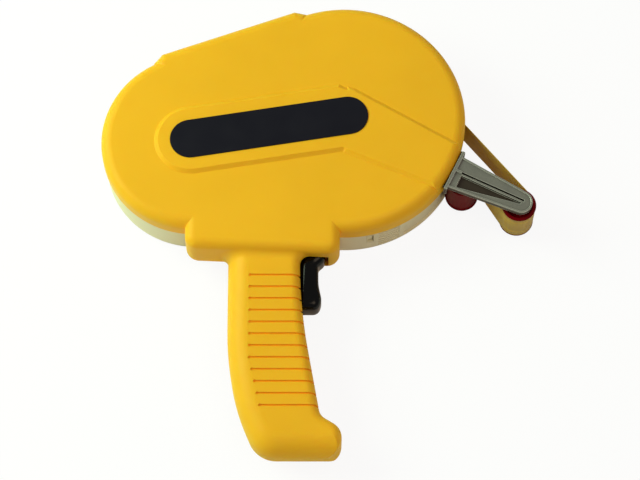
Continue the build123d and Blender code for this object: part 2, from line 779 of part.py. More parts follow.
def takeup_hub():
    """The liner hub: a flanged drum with a slit that grips the liner's end."""
    drum = ring(liner_hub_radius, liner_hub_radius - hub_wall, tape_floor, tape_top, takeup_x, takeup_y)
    drum += disc(liner_hub_radius + 4, hub_floor, tape_floor, takeup_x, takeup_y)
    drum += disc(takeup_spindle_radius + hub_wall, hub_floor, tape_top, takeup_x, takeup_y)
    for index in range(4):
        drum += Pos(takeup_x, takeup_y, tape_floor - 0.5) * Rot(0, 0, 90 * index) * Box(
            liner_hub_radius - 1, 1.6, tape_width - 4, align=(Align.MIN, Align.CENTER, Align.MIN))
    for index in range(4):
        drum -= Pos(takeup_x, takeup_y, 0) * Rot(0, 0, 45 + 90 * index) * Pos(10.0, 0, 0) * Cylinder(3.0, 2 * tape_floor + 2)
    return drum - disc(takeup_spindle_radius + running_fit, -1, case_height, takeup_x, takeup_y)


def liner_winding():
    """The liner wound so far."""
    return ring(liner_hub_radius + liner_build, liner_hub_radius, tape_floor, tape_top - 0.2, takeup_x, takeup_y)


def clutch_spring():
    """The spring washer of the slip clutch, between the hub and the small gear."""
    return ring(9.0, 5.4, tape_top, gear_floor, takeup_x, takeup_y)


def liner_post():
    """The fixed post that keeps the liner clear of the roll."""
    post = disc(liner_post_radius, tape_floor - 0.5, tape_top + 0.4, liner_post_x, liner_post_y)
    post += disc(liner_post_radius + 0.8, tape_floor - 1.5, tape_floor - 0.5, liner_post_x, liner_post_y)
    return post + disc(screw_shank_radius, tape_top, inner_face - 0.5, liner_post_x, liner_post_y)


def cover_outside():
    """The side cover's outer form up to its rim."""
    body = slab(lobes(cover_inset), 0, parting_height - seam_gap)
    return round_rim(body, cover_edge_radius, 0)


def side_cover():
    """The hinged cover: a shallow tray with a thumb pad, a latch window and a cut-away nose."""
    body = cover_outside()
    body -= slab(lobes(cover_inset + cover_wall), cover_wall, parting_height + 1)
    outer = supply_lobe_radius - cover_inset
    for index in range(rib_count):
        floor = rib_floor + index * rib_pitch
        groove = sector(pad_start_angle, pad_end_angle, outer - rib_depth, outer + 4, floor, floor + rib_height)
        body -= groove - disc(outer - rib_depth, 0, case_height)
    recess = sector(recess_start_angle, mouth_start_angle + 2, outer - 6, outer + 6, recess_floor, parting_height + 1)
    body -= recess - disc(outer - recess_depth, 0, case_height)
    body -= sector(mouth_start_angle, mouth_end_angle, 50, 72, mouth_floor, parting_height + 1)
    frame = 2 * latch_frame
    body += latch_block(latch_width + frame, latch_height + frame, latch_floor - latch_frame, outer - 1,
                        outer + latch_frame_rise)
    body -= latch_block(latch_width + 0.6, latch_height + 0.6, latch_floor - 0.3, outer - cover_wall - 1, outer + 2)
    body += ring(6.5, 4.6, cover_wall - 0.2, tape_floor - 1.9)
    for start, length in hinge_knuckles(1):
        body += hinge_rod(hinge_barrel_radius, start, length)
        reach = hinge_offset - (supply_lobe_radius - cover_inset) + cover_wall / 2
        web = Pos(start + length / 2, hinge_offset, parting_height - seam_gap) * Box(
            length, reach, hinge_barrel_radius * 2, align=(Align.CENTER, Align.MAX, Align.MAX))
        body += ridge_frame * web
    body -= hinge_rod(hinge_pin_radius + running_fit, hinge_ridge_start - 12, 200)
    return body


def latch_block(width, height, floor, inner, outer):
    """A block on the latch's bearing, from one radius to another."""
    piece = Pos(inner, 0, floor) * Box(outer - inner, width, height, align=(Align.MIN, Align.CENTER, Align.MIN))
    return Rot(0, 0, latch_angle) * piece


def cover_latch():
    """The latch's button and its spring leaf behind the cover's wall."""
    outer = supply_lobe_radius - cover_inset
    button = latch_block(latch_width, latch_height, latch_floor, outer - cover_wall - 0.6, outer - latch_sink)
    leaf = latch_block(leaf_width, leaf_length, latch_floor + latch_height - leaf_length, outer - cover_wall - 1.6,
                       outer - cover_wall - 0.5)
    return button + leaf


def trigger_outline():
    """The trigger from its rounded head down to the lip, with a rear wall inside the grip."""
    back = trigger_back_x - trigger_pin_x
    curve = [
        (-4.0, -1.9, 0),
        (4.6, -1.9, 0),
        (4.6, -7.6, 3.2),
        (1.3, -10.4, 2.5),
        (1.3, -20.0, 25),
        (3.0, -28.5, 8),
        (0.6, -33.0, 3),
        (back, -33.0, 0),
        (back, -9.4, 0),
    ]
    return rounded([(trigger_pin_x + x, trigger_pin_y + y, radius) for x, y, radius in curve], 0)


def trigger():
    """The trigger with its hub and the horn that frees the brake."""
    top = grip_middle + trigger_width / 2
    body = slab(trigger_outline(), top - trigger_width, top)
    for end in (-1, 0):
        rim = body.edges().group_by(Axis.Z)[end].filter_by(lambda edge: edge.center().Y < trigger_pin_y - 3)
        body = fillet(rim.filter_by(lambda edge: edge.center().X > trigger_back_x + 2.5), trigger_edge_radius)
    body += disc(trigger_hub_radius, top - trigger_width, top, trigger_pin_x, trigger_pin_y)
    half = horn_width / 2
    low = flat((trigger_pin_x - half, trigger_pin_y), (trigger_pin_x - half, trigger_pin_y + 4.8),
               (trigger_pin_x + half, trigger_pin_y + 4.8), (trigger_pin_x + half, trigger_pin_y))
    high = flat((trigger_pin_x - half, trigger_pin_y + 3.4), (trigger_pin_x - half, trigger_pin_y + horn_length),
                (trigger_pin_x + half, trigger_pin_y + horn_length), (trigger_pin_x + half, trigger_pin_y + 3.4))
    body += slab(low, grip_split + 0.5, parting_height + horn_lap)
    body += slab(high, parting_height + 0.4, gear_floor + brake_thickness)
    return body - disc(trigger_pin_radius + running_fit, -1, 60, trigger_pin_x, trigger_pin_y)


def trigger_spring():
    """The coil that pushes the trigger forward from a rib of the grip."""
    length = trigger_back_x - spring_seat_x
    path = Helix(length / spring_turns, length - spring_wire, spring_radius)
    wire = sweep(Plane(path @ 0, z_dir=path % 0) * Circle(spring_wire / 2), path=path)
    return Pos(spring_seat_x + spring_wire / 2, spring_y, grip_middle) * Rot(0, 90, 0) * wire


def spring_rib(bottom, top):
    """A rib across the grip that the trigger's spring bears on."""
    return Pos(spring_seat_x, spring_y, bottom) * Box(
        shell_wall, 11.0, top - bottom, align=(Align.MAX, Align.CENTER, Align.MIN))


def brake_pad():
    """The rubber pad that rests against the supply gear's teeth."""
    tip = gear_module * (supply_teeth / 2 + 0.9) + pad_gap
    pad = sector(pad_bearing - 5, pad_bearing + 5, tip - 2, tip + 4, gear_floor, gear_floor + brake_thickness)
    return pad & ring(tip + pad_thickness, tip, gear_floor - 1, gear_top)


def brake_lever():
    """The two-armed lever between the trigger's horn and the brake pad."""
    tip = gear_module * (supply_teeth / 2 + 0.9) + pad_gap + pad_thickness
    hub = Pos(brake_pin_x, brake_pin_y) * Circle(brake_hub_radius)
    pad_end = polar(tip + brake_arm_width / 2, pad_bearing)
    horn_end = (trigger_pin_x + horn_width / 2 + pad_gap + brake_arm_width / 2, trigger_pin_y + horn_length - 1.4)
    outline = make_hull(hub.edges() + (Pos(*pad_end) * Circle(brake_arm_width / 2)).edges())
    knee = (horn_end[0], trigger_pin_y + horn_length + 5.5)
    for start, end in (((brake_pin_x, brake_pin_y), knee), (knee, horn_end)):
        outline += make_hull((Pos(*start) * Circle(brake_arm_width / 2)).edges()
                             + (Pos(*end) * Circle(brake_arm_width / 2)).edges())
    lever = slab(outline, gear_floor, gear_floor + brake_thickness)
    shoe = sector(pad_bearing - 5, pad_bearing + 5, tip - 2, tip + 4, gear_floor, gear_floor + brake_thickness)
    lever += shoe & ring(tip + 1.4, tip, gear_floor - 1, gear_top)
    return lever - disc(brake_pin_radius + running_fit, 0, case_height, brake_pin_x, brake_pin_y)


def brake_pin():
    """The lever's pin, with a low head."""
    head_top = gear_floor - slide_gap
    pin = disc(brake_pin_radius, head_top, inner_face - 0.2, brake_pin_x, brake_pin_y)
    return pin + disc(brake_pin_radius + 1.2, head_top - pin_head_thickness, head_top, brake_pin_x, brake_pin_y)


def grip_screws():
    """The screws that close the grip, all alike."""
    group = None
    for x, y in grip_screw_places:
        one = screw(x, y, screw_seat(x, y), 12.0)
        group = one if group is None else group + one
    return group


def bracket_screws():
    """The two screws that hold the nose bracket's tongue."""
    (x1, y1), (x2, y2) = bracket_points()
    return screw(x1, y1, tongue_floor, 4.4) + screw(x2, y2, tongue_floor, 4.4)


def all_parts():
    """Every sub-part by name."""
    return {
        "side_shell": side_shell(),
        "grip_back_half": grip_back_half(),
        "face_plate": slab(face_plate_outline(0), case_height + plateau_rise - plate_thickness / 2,
                           case_height + plateau_rise + plate_thickness / 2),
        "side_cover": side_cover(),
        "cover_latch": cover_latch(),
        "hinge_pin": hinge_rod(hinge_pin_radius, hinge_ridge_start + 0.5, hinge_ridge_end - hinge_ridge_start - 1),
        "supply_spindle": spindle(supply_spindle_radius),
        "takeup_spindle": spindle(takeup_spindle_radius, takeup_x, takeup_y),
        "idler_spindle": idler_spindle(),
        "hub_washers": hub_washer() + hub_washer(takeup_x, takeup_y),
        "hub_screws": hub_screw() + hub_screw(takeup_x, takeup_y),
        "supply_gear": supply_gear(),
        "tape_core": tape_core(),
        "tape_roll": tape_roll(),
        "idler_gear": idler_gear(),
        "takeup_gear": takeup_gear(),
        "takeup_hub": takeup_hub(),
        "liner_winding": liner_winding(),
        "clutch_spring": clutch_spring(),
        "nose_bracket": nose_bracket(),
        "nose_axle": roller_axle(nose_roller_x, nose_roller_y),
        "guide_axle": roller_axle(guide_roller_x, guide_roller_y),
        "nose_clip": axle_clip(nose_roller_x, nose_roller_y),
        "guide_clip": axle_clip(guide_roller_x, guide_roller_y),
        "nose_roller": roller(nose_roller_radius, nose_roller_x, nose_roller_y),
        "guide_roller": roller(guide_roller_radius, guide_roller_x, guide_roller_y),
        "liner_post": liner_post(),
        "tape_web": tape_web(),
        "trigger": trigger(),
        "trigger_pin": disc(trigger_pin_radius, block_far + 0.9, inner_face - 1.5, trigger_pin_x, trigger_pin_y),
        "trigger_spring": trigger_spring(),
        "brake_lever": brake_lever(),
        "brake_pad": brake_pad(),
        "brake_pin": brake_pin(),
        "grip_screws": grip_screws(),
        "bracket_screws": bracket_screws(),
    }


def main():
    """Build every sub-part and write it."""
    os.makedirs("parts", exist_ok=True)
    for part_name, part_shape in all_parts().items():
        save(part_shape, part_name)


if __name__ == "__main__":
    main()
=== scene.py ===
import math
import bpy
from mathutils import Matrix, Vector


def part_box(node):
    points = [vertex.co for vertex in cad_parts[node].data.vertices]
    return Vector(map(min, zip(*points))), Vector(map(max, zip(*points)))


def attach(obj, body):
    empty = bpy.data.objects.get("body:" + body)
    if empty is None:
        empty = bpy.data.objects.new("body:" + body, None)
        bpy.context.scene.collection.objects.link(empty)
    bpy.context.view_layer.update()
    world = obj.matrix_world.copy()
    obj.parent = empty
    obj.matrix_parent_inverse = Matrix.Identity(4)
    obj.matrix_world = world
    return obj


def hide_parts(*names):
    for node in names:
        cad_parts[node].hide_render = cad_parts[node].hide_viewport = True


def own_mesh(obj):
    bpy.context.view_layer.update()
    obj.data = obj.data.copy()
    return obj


bl_info = {
    "name": "Transfer Tape Dispenser Finish",
    "version": (1, 0, 0),
    "blender": (4, 5, 0),
    "location": "3D View > Sidebar > Dispenser",
    "description": "Dresses the packed tape dispenser with its finishes and stands it on a studio floor",
    "category": "Object",
}

import bmesh
import bpy
from bpy.props import FloatProperty, FloatVectorProperty, IntProperty, PointerProperty
from mathutils import Vector

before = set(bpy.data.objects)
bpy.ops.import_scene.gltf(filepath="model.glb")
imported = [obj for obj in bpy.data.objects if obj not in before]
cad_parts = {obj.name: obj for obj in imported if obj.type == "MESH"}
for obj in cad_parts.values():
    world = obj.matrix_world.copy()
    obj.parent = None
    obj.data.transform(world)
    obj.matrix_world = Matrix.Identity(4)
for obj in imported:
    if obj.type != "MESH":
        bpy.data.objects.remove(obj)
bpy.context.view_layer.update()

# Lengths are in metres unless a comment says otherwise.
MM = 0.001
IMAGE_WIDTH = 640               # pixels across the photograph
SENSOR_WIDTH = 36.0             # millimetres across the camera's sensor
CLIP_END = 20                   # how far the camera sees

FLOOR_HALF = 5.0                # from the middle of the studio floor to its edges
FLOOR_GAP = 0.0002              # from the floor up to the dispenser
FLOOR_GREY = (0.93, 0.93, 0.93, 1)
FLOOR_WHITENESS = 0.9           # share of plain white in what the camera sees of the floor

# Each light's place from the point that the camera looks at, its side and its colour.
KEY_LIGHT = {"offset": Vector((-0.62, 0.2, 0.47)), "side": 0.5, "colour": (0.8, 1.0, 0.72)}
FILL_LIGHT = {"offset": Vector((0.35, -0.25, 1.0)), "side": 0.7, "colour": (1.0, 0.78, 0.56)}

NOISE_BAND = (0.3, 0.7)         # noise seldom leaves these values
EDGE_RADIUS = 0.0003            # the rounding that light sees on moulded and cast edges
DRIFT_SIZE = 0.05               # patches of slowly changing colour in a moulding
HANDLING_SIZE = 0.012           # smudges that hands leave
SINK_SIZE = 0.02                # soft hollows in a moulding
PAINTED_BOUNCE_REACH = 0.002           # depth of the slots that take the painted bounce light
SHADE_SLOT_REACH = 0.006              # depth of the corners of the casting that take painted shade
EDGE_HIGHLIGHT_RADIUS = 0.0006            # width of the painted highlight along the casting's edges
EDGE_HIGHLIGHT_TONE = 3.0                 # how much brighter that painted highlight is than the casting
POCKET_TOP = 0.0007             # below the casting's face, where the painted shade in its pocket starts
POCKET_FLOOR = 0.0019           # below the casting's face, where that painted shade is darkest
RING_LENGTH = 0.32              # of one ring of the wave texture at a scale of 1

MIX_FACTOR, MIX_FIRST, MIX_SECOND, MIX_RESULT = 0, 6, 7, 2     # sockets of a mix of colours

MERGE_DISTANCE = 0.000001
SHARP_ANGLE = math.radians(38)

# The trigger's blade, about its pin: X, Y and the corner's radius, in millimetres.
TRIGGER_BLADE = (
    (-8.2, -9.4, 0),
    (-4.0, -1.9, 0),
    (4.6, -1.9, 0),
    (4.6, -7.6, 4.0),
    (1.3, -10.4, 2.5),
    (1.3, -20.0, 25),
    (3.0, -28.0, 8),
    (1.2, -33.0, 3.9),
    (-8.2, -33.0, 0),
)


def linear(red, green, blue):
    """A display colour, 0 to 255, as scene-linear values."""
    values = []
    for channel in (red, green, blue):
        share = channel / 255
        values.append(share / 12.92 if share <= 0.04045 else ((share + 0.055) / 1.055) ** 2.4)
    return tuple(values)


PAINTED_BOUNCE = linear(255, 178, 30)          # painted bounce light: a deeper yellow painted into the case's crevices, where light goes from wall to wall
# Painted shade: the dark brownish grey painted into the casting's pocket and slots.
PAINTED_SHADE = linear(62, 54, 44)
STEEL_TONES = (linear(150, 151, 154), linear(205, 206, 208))
BOARD_TONES = (linear(150, 122, 88), linear(186, 158, 120))


class DispenserColours(bpy.types.PropertyGroup):
    """Base colours of the dispenser's finishes."""

    case: FloatVectorProperty(
        name="Case", description="Yellow of the moulded case", subtype="COLOR", size=3, min=0, max=1,
        default=linear(237, 181, 38))
    cover: FloatVectorProperty(
        name="Cover", description="Cream of the hinged side cover", subtype="COLOR", size=3, min=0, max=1,
        default=linear(224, 216, 182))
    plate: FloatVectorProperty(
        name="Face plate", description="Dark film on the face plate", subtype="COLOR", size=3, min=0, max=1,
        default=linear(21, 21, 31))
    casting: FloatVectorProperty(
        name="Casting", description="Grey of the cast nose arm", subtype="COLOR", size=3, min=0, max=1,
        default=linear(132, 134, 127))
    roller: FloatVectorProperty(
        name="Rollers", description="Dark red of the two rollers", subtype="COLOR", size=3, min=0, max=1,
        default=linear(104, 4, 12))
    tape: FloatVectorProperty(
        name="Tape", description="Tan of the tape and its liner", subtype="COLOR", size=3, min=0, max=1,
        default=linear(188, 150, 52))
    trigger: FloatVectorProperty(
        name="Trigger", description="Black of the trigger", subtype="COLOR", size=3, min=0, max=1,
        default=linear(6, 6, 6))
    nylon: FloatVectorProperty(
        name="Gears", description="Natural nylon of the gears and hubs", subtype="COLOR", size=3, min=0,
        max=1, default=linear(226, 222, 206))
    rubber: FloatVectorProperty(
        name="Brake pad", description="Rubber of the brake's pad", subtype="COLOR", size=3, min=0, max=1,
        default=linear(28, 28, 28))


class DispenserPieces(bpy.types.PropertyGroup):
    """Sizes of the pieces that are modelled here over their plain solids."""

    trigger_width: FloatProperty(
        name="Trigger width", description="Across the trigger, along its pin", unit="LENGTH",
        default=0.014, min=0.004)
    trigger_rounding: FloatProperty(
        name="Trigger rounding", description="Radius of the trigger's rounded sides", unit="LENGTH",
        default=0.0038, min=0.0005)
    spring_wire: FloatProperty(
        name="Spring wire", description="Thickness of the trigger spring's wire", unit="LENGTH",
        default=0.0006, min=0.0001)
    spring_turns: IntProperty(
        name="Spring turns", description="Turns of the trigger's spring", default=5, min=2)
    roller_dish: FloatProperty(
        name="Roller dish", description="Depth of the recess in each end of a roller", unit="LENGTH",
        default=0.0026, min=0)
    roller_rim: FloatProperty(
        name="Roller rim", description="Width of the wall round that recess", unit="LENGTH",
        default=0.0019, min=0.0009)


class DispenserStage(bpy.types.PropertyGroup):
    """Place of the camera and strengths of the lights."""

    camera_distance: FloatProperty(
        name="Camera distance", description="From the camera to the point it looks at", unit="LENGTH",
        default=1.1707, min=0.2)
    camera_elevation: FloatProperty(
        name="Camera elevation", description="Height of the camera above the floor, as an angle",
        subtype="ANGLE", default=math.radians(69.5))
    focal_pixels: FloatProperty(
        name="Focal length", description="Focal length in pixels of a picture 640 wide",
        default=2400, min=100)
    look_at: FloatVectorProperty(
        name="Look at", description="The point at the middle of the picture", subtype="TRANSLATION",
        size=3, default=(-0.01213, -0.06459, 0.030))
    key_power: FloatProperty(
        name="Key light", description="Power of the large light at the upper left", unit="POWER",
        default=6.6, min=0)
    fill_power: FloatProperty(
        name="Fill light", description="Power of the warm light above the face", unit="POWER",
        default=3.5, min=0)
    sky: FloatProperty(
        name="Sky", description="Strength of the even light from all round", default=0.28, min=0)


def node_tree(name, roughness, metallic=0.0, gloss=0.5):
    """A new material with one Principled shader, and its tree and shader."""
    material = bpy.data.materials.new(name)
    material.use_nodes = True
    tree = material.node_tree
    shader = tree.nodes["Principled BSDF"]
    shader.inputs["Roughness"].default_value = roughness
    shader.inputs["Metallic"].default_value = metallic
    shader.inputs["Specular IOR Level"].default_value = gloss
    return material, tree, shader


def coordinates(tree, stretch=(1, 1, 1), shift=(0, 0, 0)):
    """Object coordinates, stretched along each axis and then shifted."""
    source = tree.nodes.new("ShaderNodeTexCoord")
    mapping = tree.nodes.new("ShaderNodeMapping")
    mapping.inputs["Location"].default_value = shift
    mapping.inputs["Scale"].default_value = stretch
    tree.links.new(source.outputs["Object"], mapping.inputs["Vector"])
    return mapping.outputs["Vector"]


def noise(tree, vector, size, detail=2.0):
    """Noise whose lumps are about this many metres across."""
    texture = tree.nodes.new("ShaderNodeTexNoise")
    texture.inputs["Scale"].default_value = 1 / size
    texture.inputs["Detail"].default_value = detail
    tree.links.new(vector, texture.inputs["Vector"])
    return texture.outputs["Fac"]


def ranged(tree, factor, start, end, low=0.0, high=1.0):
    """A value that goes from low to high while another goes from start to end."""
    climb = tree.nodes.new("ShaderNodeMapRange")
    climb.inputs["From Min"].default_value = start
    climb.inputs["From Max"].default_value = end
    climb.inputs["To Min"].default_value = low
    climb.inputs["To Max"].default_value = high
    tree.links.new(factor, climb.inputs["Value"])
    return climb.outputs["Result"]


def blended(tree, factor, first, second):
    """A colour that a noise carries from the first to the second."""
    ramp = tree.nodes.new("ShaderNodeValToRGB")
    for stop, place, colour in zip(ramp.color_ramp.elements, NOISE_BAND, (first, second)):
        stop.position = place
        stop.color = (*colour, 1)
    tree.links.new(factor, ramp.inputs["Fac"])
    return ramp.outputs["Color"]


def mixed(tree, factor, first, second):
    """Two colours, each given as a value or as a socket, mixed by a factor."""
    mix = tree.nodes.new("ShaderNodeMix")
    mix.data_type = "RGBA"
    tree.links.new(factor, mix.inputs[MIX_FACTOR])
    for colour, place in ((first, MIX_FIRST), (second, MIX_SECOND)):
        if isinstance(colour, tuple):
            mix.inputs[place].default_value = (*colour, 1)
        else:
            tree.links.new(colour, mix.inputs[place])
    return mix.outputs[MIX_RESULT]


def tone(colour, factor):
    """A colour made darker or lighter."""
    return tuple(min(1.0, channel * factor) for channel in colour)


def roughened(tree, shader, factor, low, high):
    """Let a noise carry the roughness from one value to another."""
    tree.links.new(ranged(tree, factor, *NOISE_BAND, low, high), shader.inputs["Roughness"])


def bumped(tree, shader, height, distance, strength=1.0):
    """Raise the surface by a height map of this depth, on top of what bends its light already."""
    bump = tree.nodes.new("ShaderNodeBump")
    bump.inputs["Distance"].default_value = distance
    bump.inputs["Strength"].default_value = strength
    tree.links.new(height, bump.inputs["Height"])
    if shader.inputs["Normal"].is_linked:
        tree.links.new(shader.inputs["Normal"].links[0].from_socket, bump.inputs["Normal"])
    tree.links.new(bump.outputs["Normal"], shader.inputs["Normal"])


def rounded_normal(tree, radius, samples=8):
    """The direction of a surface whose edges have this radius."""
    bevel = tree.nodes.new("ShaderNodeBevel")
    bevel.samples = samples
    bevel.inputs["Radius"].default_value = radius
    return bevel.outputs["Normal"]


def softened(tree, shader):
    """Let the light run round sharp edges as on a small radius."""
    tree.links.new(rounded_normal(tree, EDGE_RADIUS, samples=6), shader.inputs["Normal"])


def glowing(shader, weight, radius, scale):
    """Let light pass a little way through the material, further in red than in blue."""
    shader.inputs["Subsurface Weight"].default_value = weight
    shader.inputs["Subsurface Radius"].default_value = radius
    shader.inputs["Subsurface Scale"].default_value = scale


def open_share(tree, reach):
    """1 on open surfaces, down to 0 in narrow corners and slots of this depth."""
    closed_level, open_level = 0.35, 0.95
    shade = tree.nodes.new("ShaderNodeAmbientOcclusion")
    shade.samples = 8
    shade.inputs["Distance"].default_value = reach
    return ranged(tree, shade.outputs["AO"], closed_level, open_level)


def edge_share(tree, radius):
    """1 along sharp edges, 0 on the flats: where a rounded direction leaves the true one."""
    flat_level, edge_level = 0.97, 0.8
    geometry = tree.nodes.new("ShaderNodeNewGeometry")
    agreement = tree.nodes.new("ShaderNodeVectorMath")
    agreement.operation = "DOT_PRODUCT"
    tree.links.new(rounded_normal(tree, radius), agreement.inputs[0])
    tree.links.new(geometry.outputs["Normal"], agreement.inputs[1])
    return ranged(tree, agreement.outputs["Value"], flat_level, edge_level)


def height_share(tree, low, high):
    """0 up to one height of the part, rising to 1 at another."""
    split = tree.nodes.new("ShaderNodeSeparateXYZ")
    tree.links.new(coordinates(tree), split.inputs["Vector"])
    return ranged(tree, split.outputs["Z"], low, high)


def moulded_plastic(name, colour, roughness, grain, depth, drift, gloss=0.3, glow=0.0, painted_bounce=None):
    """Moulded plastic: a fine spark-eroded grain, slow drift of colour, faint handling marks, and painted
    bounce light: a deeper colour painted into crevices, where light goes from wall to wall."""
    polished, dulled = roughness - 0.05, roughness + 0.07
    sink_depth = depth * 4
    material, tree, shader = node_tree(name, roughness, gloss=gloss)
    vector = coordinates(tree)
    softened(tree, shader)
    slow = noise(tree, vector, DRIFT_SIZE, detail=3)
    skin = blended(tree, slow, tone(colour, 1 - drift), tone(colour, 1 + drift))
    # Painted bounce light: crevices and slots take a deeper yellow than the open faces.
    if painted_bounce:
        skin = mixed(tree, open_share(tree, PAINTED_BOUNCE_REACH), painted_bounce, skin)
    tree.links.new(skin, shader.inputs["Base Color"])
    roughened(tree, shader, noise(tree, vector, HANDLING_SIZE, detail=5), polished, dulled)
    bumped(tree, shader, noise(tree, vector, grain), depth)
    bumped(tree, shader, noise(tree, vector, SINK_SIZE, detail=1), sink_depth, strength=0.5)
    glowing(shader, glow, radius=(1.0, 0.6, 0.12), scale=0.0016)
    return material


def cast_metal(name, colour, face):
    """Die-cast metal: a finely pitted skin, with painted shade in its pocket and slots and a painted
    highlight along its edges.
    """
    pore_size, ripple_size, polish_size = 0.0007, 0.004, 0.006
    pore_depth, ripple_depth = 0.00002, 0.00006
    material, tree, shader = node_tree(name, roughness=0.4, metallic=0.55)
    vector = coordinates(tree)
    softened(tree, shader)
    pores = noise(tree, vector, pore_size, detail=4)
    skin = blended(tree, pores, tone(colour, 0.9), tone(colour, 1.06))
    # Painted shade: the pocket darkens with its depth below the face, and narrow slots darker still.
    pocket_shaded = mixed(tree, height_share(tree, face - POCKET_FLOOR, face - POCKET_TOP), PAINTED_SHADE, skin)
    slot_shaded = mixed(tree, open_share(tree, SHADE_SLOT_REACH), tone(PAINTED_SHADE, 0.5), pocket_shaded)
    # Painted highlight: a bright line along the casting's edges.
    edge_lit = mixed(tree, edge_share(tree, EDGE_HIGHLIGHT_RADIUS), slot_shaded, tone(colour, EDGE_HIGHLIGHT_TONE))
    tree.links.new(edge_lit, shader.inputs["Base Color"])
    roughened(tree, shader, noise(tree, vector, polish_size, detail=4), low=0.34, high=0.5)
    bumped(tree, shader, pores, pore_depth)
    bumped(tree, shader, noise(tree, vector, ripple_size), ripple_depth, strength=0.5)
    return material


def turned_steel(name):
    """Turned and plated steel with fine rings."""
    squeeze, ring_size, ring_depth = 30, 0.004, 0.00001
    material, tree, shader = node_tree(name, roughness=0.28, metallic=1.0)
    streaks = noise(tree, coordinates(tree, (1, 1, squeeze)), ring_size, detail=3)
    tree.links.new(blended(tree, streaks, *STEEL_TONES), shader.inputs["Base Color"])
    roughened(tree, shader, streaks, low=0.2, high=0.36)
    bumped(tree, shader, streaks, ring_depth)
    return material


def wound_tape(name, colour, centre, pitch):
    """Wound tape: fine rings about the winding's centre on the ends, smooth on the outside."""
    ring_depth = 0.00004
    material, tree, shader = node_tree(name, roughness=0.34)
    rings = tree.nodes.new("ShaderNodeTexWave")
    rings.wave_type = "RINGS"
    rings.rings_direction = "SPHERICAL"
    rings.inputs["Scale"].default_value = RING_LENGTH / pitch
    rings.inputs["Distortion"].default_value = 1.2
    rings.inputs["Detail"].default_value = 3
    rings.inputs["Detail Scale"].default_value = 4
    about_centre = coordinates(tree, stretch=(1, 1, 0), shift=(-centre[0], -centre[1], 0))
    tree.links.new(about_centre, rings.inputs["Vector"])
    bands = blended(tree, rings.outputs["Fac"], tone(colour, 0.82), tone(colour, 1.1))
    tree.links.new(bands, shader.inputs["Base Color"])
    bumped(tree, shader, rings.outputs["Fac"], ring_depth)
    glowing(shader, weight=0.1, radius=(1.0, 0.2, 0.1), scale=0.002)
    return material


def tape_film(name, colour):
    """The running tape: a waxy film with long faint streaks."""
    squeeze, streak_size, streak_depth = 12, 0.02, 0.00002
    material, tree, shader = node_tree(name, roughness=0.4, gloss=0.2)
    streaks = noise(tree, coordinates(tree, (1, 1, squeeze)), streak_size, detail=4)
    waxy = blended(tree, streaks, tone(colour, 0.8), tone(colour, 1.12))
    tree.links.new(waxy, shader.inputs["Base Color"])
    roughened(tree, shader, streaks, low=0.34, high=0.48)
    bumped(tree, shader, streaks, streak_depth)
    glowing(shader, weight=0.6, radius=(1.0, 0.75, 0.3), scale=0.002)
    return material


def pressed_board(name):
    """Spiral-wound paper board."""
    squeeze, fibre_size, fibre_depth = 4, 0.0008, 0.00005
    material, tree, shader = node_tree(name, roughness=0.8)
    fibres = noise(tree, coordinates(tree, (1, 1, squeeze)), fibre_size, detail=4)
    tree.links.new(blended(tree, fibres, *BOARD_TONES), shader.inputs["Base Color"])
    bumped(tree, shader, fibres, fibre_depth)
    return material


def dress(material, *names):
    """Give these CAD nodes a finish in place of their plain one."""
    for name in names:
        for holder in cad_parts[name].material_slots:
            holder.material = material


def middle(node):
    """The middle of a node's box."""
    low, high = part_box(node)
    return (low + high) / 2


def rectangle(left, right, front, back):
    """A rectangle's corners, seen from above."""
    return [Vector((left, front)), Vector((right, front)), Vector((right, back)), Vector((left, back))]


def rounded_outline(corners, origin, steps=8):
    """An outline from corners in millimetres about an origin, each turned by an arc of its radius."""
    places = [Vector((origin.x + x * MM, origin.y + y * MM)) for x, y, radius in corners]
    points = []
    for index, corner in enumerate(places):
        radius = corners[index][2] * MM
        if not radius:
            points.append(corner)
            continue
        before = (places[index - 1] - corner).normalized()
        after = (places[(index + 1) % len(places)] - corner).normalized()
        half = before.angle(after) / 2
        centre = corner + (before + after).normalized() * radius / math.sin(half)
        reach = radius / math.tan(half)
        first = (corner + before * reach - centre).normalized()
        last = (corner + after * reach - centre).normalized()
        points += [centre + first.slerp(last, step / steps) * radius for step in range(steps + 1)]
    return points


def moved_in(outline, inset):
    """The outline with each side moved in by the same amount, whichever way it runs."""
    area = sum(here.cross(there) for here, there in zip(outline, outline[1:] + outline[:1]))
    sense = 1 if area > 0 else -1
    moved = []
    for index, here in enumerate(outline):
        arriving = (here - outline[index - 1]).normalized()
        leaving = (outline[(index + 1) % len(outline)] - here).normalized()
        inward = Vector((-arriving.y, arriving.x)) + Vector((-leaving.y, leaving.x))
        moved.append(here + inward * sense * inset / (1 + arriving.dot(leaving)))
    return moved


def add_raised(mesh, outline, low, high, rounding, steps=7):
    """Add a slab with this outline between two heights, its upper and lower rims rounded."""
    levels = []
    for step in range(steps + 1):
        turn = math.pi / 2 * step / steps
        levels.append((rounding * (1 - math.sin(turn)), rounding * (1 - math.cos(turn))))
    heights = [(inset, low + rise) for inset, rise in levels]
    heights += [(inset, high - rise) for inset, rise in reversed(levels)]
    rings = []
    for inset, height in heights:
        rings.append([mesh.verts.new((*point, height)) for point in moved_in(outline, inset)])
    skin_rings(mesh, rings)
    mesh.faces.new(rings[0][::-1])
    mesh.faces.new(rings[-1])


def add_turned(mesh, profile, axis, steps=72):
    """Add a body of revolution about an upright axis, from pairs of radius and height."""
    turns = [2 * math.pi * step / steps for step in range(steps)]
    rings = []
    for radius, height in [*profile, profile[0]]:
        ring = [(axis.x + radius * math.cos(turn), axis.y + radius * math.sin(turn)) for turn in turns]
        rings.append([mesh.verts.new((*point, height)) for point in ring])
    skin_rings(mesh, rings)


